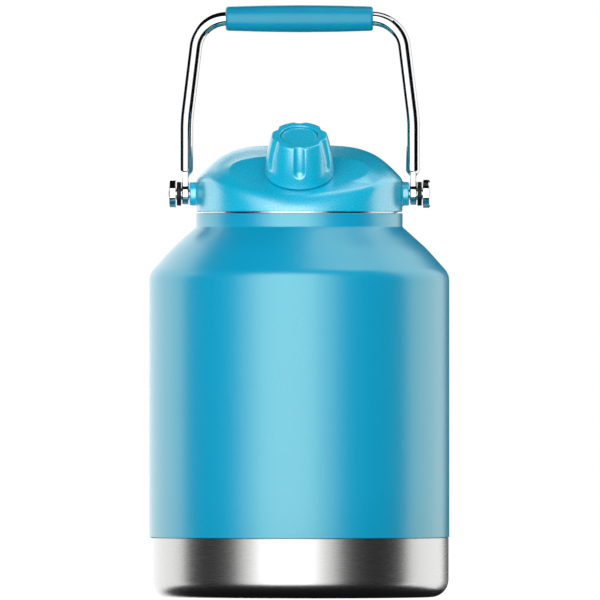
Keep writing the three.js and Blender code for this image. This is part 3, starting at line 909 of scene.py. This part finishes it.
def pivot_pieces():
    nut = ring_section(*NUT, 0.3)
    bush = ring_section(*BUSH, 0.15)
    washer = ring_section(*WASHER, 0.3)
    bolt = outline([
        (0, SHANK_X[0]),
        (SHANK_R, SHANK_X[0], 0.4),
        (SHANK_R, SHANK_X[1]),
        (HEAD_R, SHANK_X[1], 0.3),
        (HEAD_R, HEAD_EDGE_X, 0.5),
        (HEAD_FACE_R, HEAD_FACE_X - 0.05, 0.5),
        (0, HEAD_FACE_X),
    ], support=0.05)
    sections = {"insert_nut": nut, "pivot_bush": bush, "pivot_washer": washer, "pivot_bolt": bolt}
    for side, turn in (("right", 0), ("left", math.pi)):
        place = Matrix.Translation((0, 0, PIVOT_Z)) @ Matrix.Rotation(turn, 4, "Z") @ ALONG_X
        for name, section in sections.items():
            piece(f"{name}_{side}", moved(turned(section, SMALL_ROUND), place))


outer_shell()
base_cup()
base_pieces()
inner_liner()
lid_inside()
spout()
lid_shell()
cap_pieces()
handle_pieces()
pivot_pieces()


# ---------- camera, floor and light ----------

FRAME_WIDTH = 0.340  # what the view takes in at the jug, in metres
VIEW_DISTANCE = 15.0
VIEW_CENTRE = Vector((0.0004, 0, 0.1683))
EYE_HEIGHT = 0.175


def camera():
    data = bpy.data.cameras.new("camera")
    data.lens = data.sensor_width * VIEW_DISTANCE / FRAME_WIDTH
    data.clip_end = 100
    obj = bpy.data.objects.new("camera", data)
    obj.location = (VIEW_CENTRE.x, -VIEW_DISTANCE, EYE_HEIGHT)
    obj.rotation_euler = (VIEW_CENTRE - obj.location).to_track_quat("-Z", "Y").to_euler()
    bpy.context.collection.objects.link(obj)
    bpy.context.scene.camera = obj


def emission_seen(tree, seen, unseen):
    """White to the camera, and dimmer to the jug's own reflections."""
    path = add(tree, "ShaderNodeLightPath")
    light = add(tree, "ShaderNodeMapRange")
    light.inputs["To Min"].default_value = unseen
    light.inputs["To Max"].default_value = seen
    tree.links.new(path.outputs["Is Camera Ray"], light.inputs["Value"])
    return light.outputs["Result"]


def world():
    scene_world = bpy.data.worlds.new("studio")
    scene_world.use_nodes = True
    tree = scene_world.node_tree
    background = tree.nodes["Background"]
    background.inputs["Color"].default_value = (1, 1, 1, 1)
    tree.links.new(emission_seen(tree, 1.0, 0.008), background.inputs["Strength"])
    bpy.context.scene.world = scene_world


def floor():
    size = 1.6
    data = bpy.data.meshes.new("floor")
    corners = [(-size, -size, 0), (size, -size, 0), (size, size, 0), (-size, size, 0)]
    data.from_pydata(corners, [], [(0, 1, 2, 3)])
    obj = bpy.data.objects.new("floor", data)
    obj.location.z = -0.0002
    bpy.context.collection.objects.link(obj)
    mat = bpy.data.materials.new("floor")
    mat.use_nodes = True
    shader = mat.node_tree.nodes["Principled BSDF"]
    shader.inputs["Base Color"].default_value = (0.02, 0.02, 0.02, 1)
    shader.inputs["Roughness"].default_value = 0.9
    shader.inputs["Emission Color"].default_value = (1, 1, 1, 1)
    shader.inputs["Emission Strength"].default_value = 1.0
    data.materials.append(mat)
    obj.visible_diffuse = False
    obj.visible_glossy = False
    obj.visible_shadow = False


def softbox(name, start, end, low, high, radiance, distance=1.2):
    """A flat softbox that fills the azimuths from start to end (0 is in front of the jug, and
    positive to its right) and the heights from low to high, and faces the jug level."""
    angle = math.radians((start + end) / 2)
    half = math.radians((end - start) / 2)
    data = bpy.data.lights.new(name, "AREA")
    data.shape = "RECTANGLE"
    data.size = 2 * distance * math.tan(half)
    data.size_y = high - low
    data.energy = radiance * math.pi * data.size * data.size_y
    obj = bpy.data.objects.new(name, data)
    obj.location = (distance * math.sin(angle), -distance * math.cos(angle), (low + high) / 2)
    obj.rotation_euler = (math.pi / 2, 0, angle)
    obj.visible_camera = False
    bpy.context.collection.objects.link(obj)


def overhead(name, centre, size, radiance):
    """A level softbox that faces down."""
    data = bpy.data.lights.new(name, "AREA")
    data.shape = "RECTANGLE"
    data.size, data.size_y = size
    data.energy = radiance * math.pi * data.size * data.size_y
    obj = bpy.data.objects.new(name, data)
    obj.location = centre
    obj.visible_camera = False
    bpy.context.collection.objects.link(obj)


camera()
world()
floor()
softbox("front_box", -46, 29, -0.6, 1.4, 1.55)
softbox("front_core", -32, 14, -0.5, 1.4, 1.7, distance=1.15)
softbox("right_box", 89, 145, -0.5, 1.9, 1.9)
softbox("left_box", -180, -97, -0.5, 1.3, 1.9)
overhead("top_box", (0.55, 0.0, 1.7), (0.9, 0.9), 1.9)

scene = bpy.context.scene
scene.view_settings.view_transform = "Standard"
scene.view_settings.look = "None"
